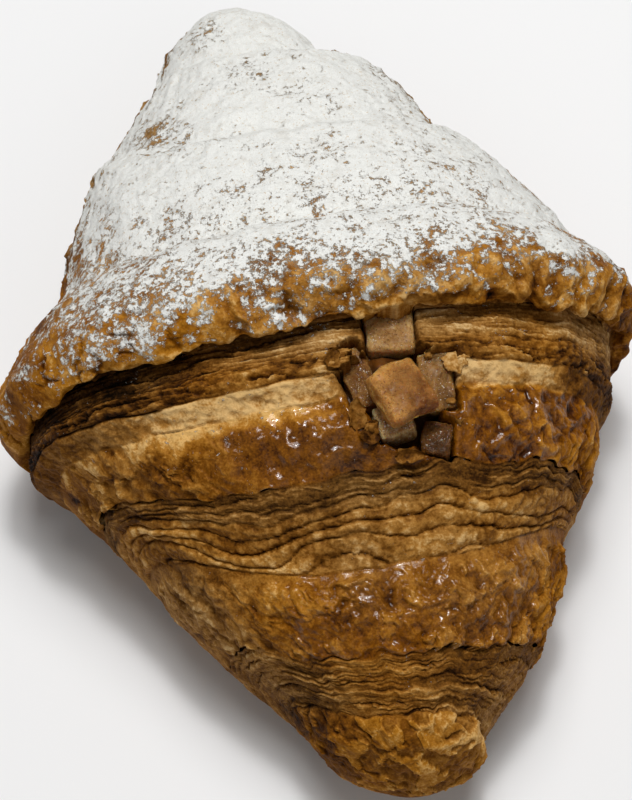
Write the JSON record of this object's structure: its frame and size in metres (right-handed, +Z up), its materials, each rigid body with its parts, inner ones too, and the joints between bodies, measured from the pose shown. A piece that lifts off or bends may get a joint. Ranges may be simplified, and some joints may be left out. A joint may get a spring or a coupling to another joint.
{
  "type": "filled croissant",
  "caption": "Laminated pastry wound in stepped wraps, widest at an overhanging middle lip, with its near ridge torn open over diced cooked fruit.",
  "frame": {"origin": "centre of the bounding box at the flat underside", "axes": "+Y along the pastry towards the tip farther from the mouth, +X to its right, +Z up from the tray"},
  "size_m": [0.1044, 0.1448, 0.0639],
  "materials": {
    "crust": "browned, egg washed and partly dusted with sugar",
    "compote": "moist",
    "apple": "moist, slightly translucent"
  },
  "bodies": {
    "root": {"croissant": "crust", "apple_filling": "compote", "apple_dice_1": "apple", "apple_dice_2": "apple", "apple_dice_3": "apple", "apple_dice_4": "apple", "apple_dice_5": "apple", "apple_dice_6": "apple"}
  },
  "joints": []
}
